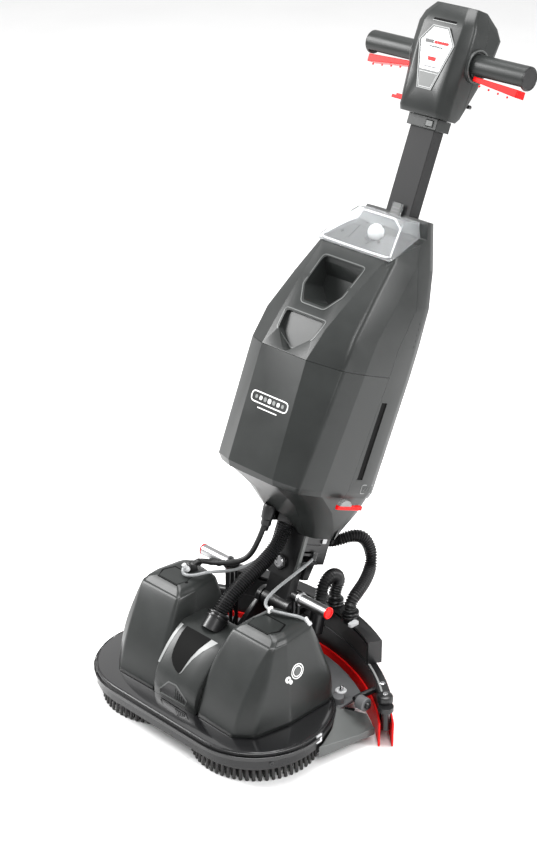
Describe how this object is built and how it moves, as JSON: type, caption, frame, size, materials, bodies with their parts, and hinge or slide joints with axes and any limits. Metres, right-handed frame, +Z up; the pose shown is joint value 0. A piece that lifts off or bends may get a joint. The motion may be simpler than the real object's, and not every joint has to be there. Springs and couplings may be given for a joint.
{
  "type": "wet dry floor scrubber",
  "caption": "Upright floor scrubber: twin-disc deck, trailing curved squeegee, tilting column with tanks, battery, telescoping stem and grips with triggers.",
  "frame": {"origin": "on the floor, under the middle of the rigid pieces' box", "axes": "+Z up, the machine faces -Y with its squeegee at +Y, +X across the deck"},
  "size_m": [0.5176, 0.6872, 1.0206],
  "materials": {
    "grey_plastic": "dark grey satin moulding",
    "black_plastic": "black moulding",
    "stem_paint": "black powder coat",
    "red_plastic": "red moulding",
    "red_rubber": "red squeegee rubber",
    "black_rubber": "black ribbed hose and bead",
    "motor_steel": "plain steel",
    "plated_steel": "satin plated tube",
    "pale_grey_plastic": "pale grey moulding",
    "bristle": "dark nylon tufts",
    "clear_plastic": "clear moulding",
    "white_plastic": "white moulding",
    "label_film": "printed silver film",
    "tube_plastic": "translucent grey tube"
  },
  "bodies": {
    "deck": {"deck_base": "black_plastic", "skirt_bead": "black_rubber", "motor_cowl_right": "grey_plastic", "motor_cowl_left": "grey_plastic", "centre_cowl": "grey_plastic", "brush_motor_right": "motor_steel", "brush_motor_left": "motor_steel", "hose_socket": "black_plastic", "rear_shroud": "pale_grey_plastic", "side_flap_right": "black_plastic", "side_flap_left": "black_plastic", "pivot_bracket": "black_plastic", "tilt_pin": "motor_steel", "peg_post_right": "black_plastic", "peg_post_left": "black_plastic", "foot_peg_right": "plated_steel", "foot_peg_left": "plated_steel", "hose_elbow": "black_plastic", "front_hose": "black_rubber", "power_cable": "black_rubber", "suction_hose": "black_rubber", "short_hose": "black_rubber", "water_tube_right": "tube_plastic", "water_tube_left": "tube_plastic"},
    "brush_right": {"brush_disc_right": "black_plastic", "brush_bristles_right": "bristle"},
    "brush_left": {"brush_disc_left": "black_plastic", "brush_bristles_left": "bristle"},
    "squeegee": {"squeegee_arm": "black_plastic", "squeegee_body": "black_plastic", "squeegee_blade_front": "red_rubber", "squeegee_blade_rear": "red_rubber", "suction_shell": "black_plastic"},
    "roller_right": {"squeegee_roller_right": "pale_grey_plastic"},
    "roller_left": {"squeegee_roller_left": "pale_grey_plastic"},
    "knuckle": {"knuckle": "black_plastic"},
    "column": {"swivel_bolt": "motor_steel", "neck": "black_plastic", "chin_cradle": "grey_plastic", "rear_shell": "grey_plastic", "side_gauge": "black_plastic", "vac_motor": "motor_steel", "water_pump": "black_plastic"},
    "battery": {"battery_pack": "black_plastic"},
    "latch": {"tank_latch": "red_plastic"},
    "clean_tank": {"clean_tank": "grey_plastic"},
    "recovery_tank": {"recovery_tank": "grey_plastic"},
    "lid": {"lid": "clear_plastic"},
    "float": {"float_ball": "white_plastic"},
    "stem": {"stem": "stem_paint", "stem_collar": "grey_plastic", "head_front": "grey_plastic", "head_rear": "grey_plastic", "label_plate": "label_film", "grip_right": "grey_plastic", "grip_left": "grey_plastic"},
    "collar_button": {"collar_button": "grey_plastic"},
    "trigger_right": {"trigger_right": "red_plastic"},
    "trigger_left": {"trigger_left": "red_plastic"},
    "head_lever": {"head_lever": "red_plastic"}
  },
  "joints": [
    {"name": "brush_spin_right", "type": "hinge", "parent": "deck", "child": "brush_right", "pos_m": [0.1021, -0.23207, 0.03], "axis": [0, 0, 1], "continuous": true},
    {"name": "brush_spin_left", "type": "hinge", "parent": "deck", "child": "brush_left", "pos_m": [-0.1021, -0.23207, 0.03], "axis": [0, 0, 1], "continuous": true},
    {"name": "squeegee_lift", "type": "hinge", "parent": "deck", "child": "squeegee", "pos_m": [0, -0.10407, 0.08], "axis": [1, 0, 0], "range_deg": [0, 12], "deforming": ["suction_hose", "short_hose"]},
    {"name": "roller_spin_right", "type": "hinge", "parent": "squeegee", "child": "roller_right", "pos_m": [0.208, -0.10807, 0.062], "axis": [1, 0, 0], "continuous": true},
    {"name": "roller_spin_left", "type": "hinge", "parent": "squeegee", "child": "roller_left", "pos_m": [-0.208, -0.10807, 0.062], "axis": [1, 0, 0], "continuous": true},
    {"name": "neck_tilt", "type": "hinge", "parent": "deck", "child": "knuckle", "pos_m": [0, -0.08207, 0.14], "axis": [1, 0, 0], "range_deg": [-35, 22.6], "deforming": ["front_hose", "power_cable", "suction_hose", "water_tube_right", "water_tube_left"]},
    {"name": "neck_swivel", "type": "hinge", "parent": "knuckle", "child": "column", "pos_m": [0, -0.05594, 0.20278], "axis": [0, 0.9232, -0.3843], "range_deg": [-30, 30], "deforming": ["front_hose", "power_cable", "suction_hose", "water_tube_right", "water_tube_left"]},
    {"name": "battery_slide", "type": "slide", "parent": "column", "child": "battery", "axis": [0, 0.9232, -0.3843], "range_m": [0, 0.1]},
    {"name": "latch_turn", "type": "hinge", "parent": "column", "child": "latch", "pos_m": [0.0915, 0.00076, 0.31295], "axis": [0, 0.3843, 0.9232], "range_deg": [0, 60]},
    {"name": "clean_tank_pull", "type": "slide", "parent": "column", "child": "clean_tank", "axis": [0, -0.9232, 0.3843], "range_m": [0, 0.08]},
    {"name": "recovery_tank_lift", "type": "slide", "parent": "column", "child": "recovery_tank", "axis": [0, -0.1288, 0.9917], "range_m": [0, 0.08]},
    {"name": "lid_hinge", "type": "hinge", "parent": "recovery_tank", "child": "lid", "pos_m": [0, 0.07482, 0.68994], "axis": [1, 0, 0], "range_deg": [0, 100]},
    {"name": "float_rise", "type": "slide", "parent": "recovery_tank", "child": "float", "axis": [0, 0.3843, 0.9232], "range_m": [0, 0.006]},
    {"name": "stem_slide", "type": "slide", "parent": "column", "child": "stem", "axis": [0, 0.3843, 0.9232], "range_m": [-0.06, 0.06]},
    {"name": "collar_button_press", "type": "slide", "parent": "stem", "child": "collar_button", "axis": [0, 0.9232, -0.3843], "range_m": [0, 0.002], "stiffness_N_per_m": 300},
    {"name": "trigger_squeeze_right", "type": "hinge", "parent": "stem", "child": "trigger_right", "pos_m": [0.062, 0.27732, 0.92193], "axis": [0, -0.9232, 0.3843], "range_deg": [0, 5], "stiffness_Nm_per_rad": 1},
    {"name": "trigger_squeeze_left", "type": "hinge", "parent": "stem", "child": "trigger_left", "pos_m": [-0.062, 0.27732, 0.92193], "axis": [0, 0.9232, -0.3843], "range_deg": [0, 5], "stiffness_Nm_per_rad": 1},
    {"name": "head_lever_turn", "type": "hinge", "parent": "stem", "child": "head_lever", "pos_m": [-0.046, 0.24006, 0.88004], "axis": [0, 0.9232, -0.3843], "range_deg": [-10, 10]}
  ],
  "couplings": [
    {"joint": "brush_spin_left", "follows": "brush_spin_right", "ratio": -1}
  ]
}
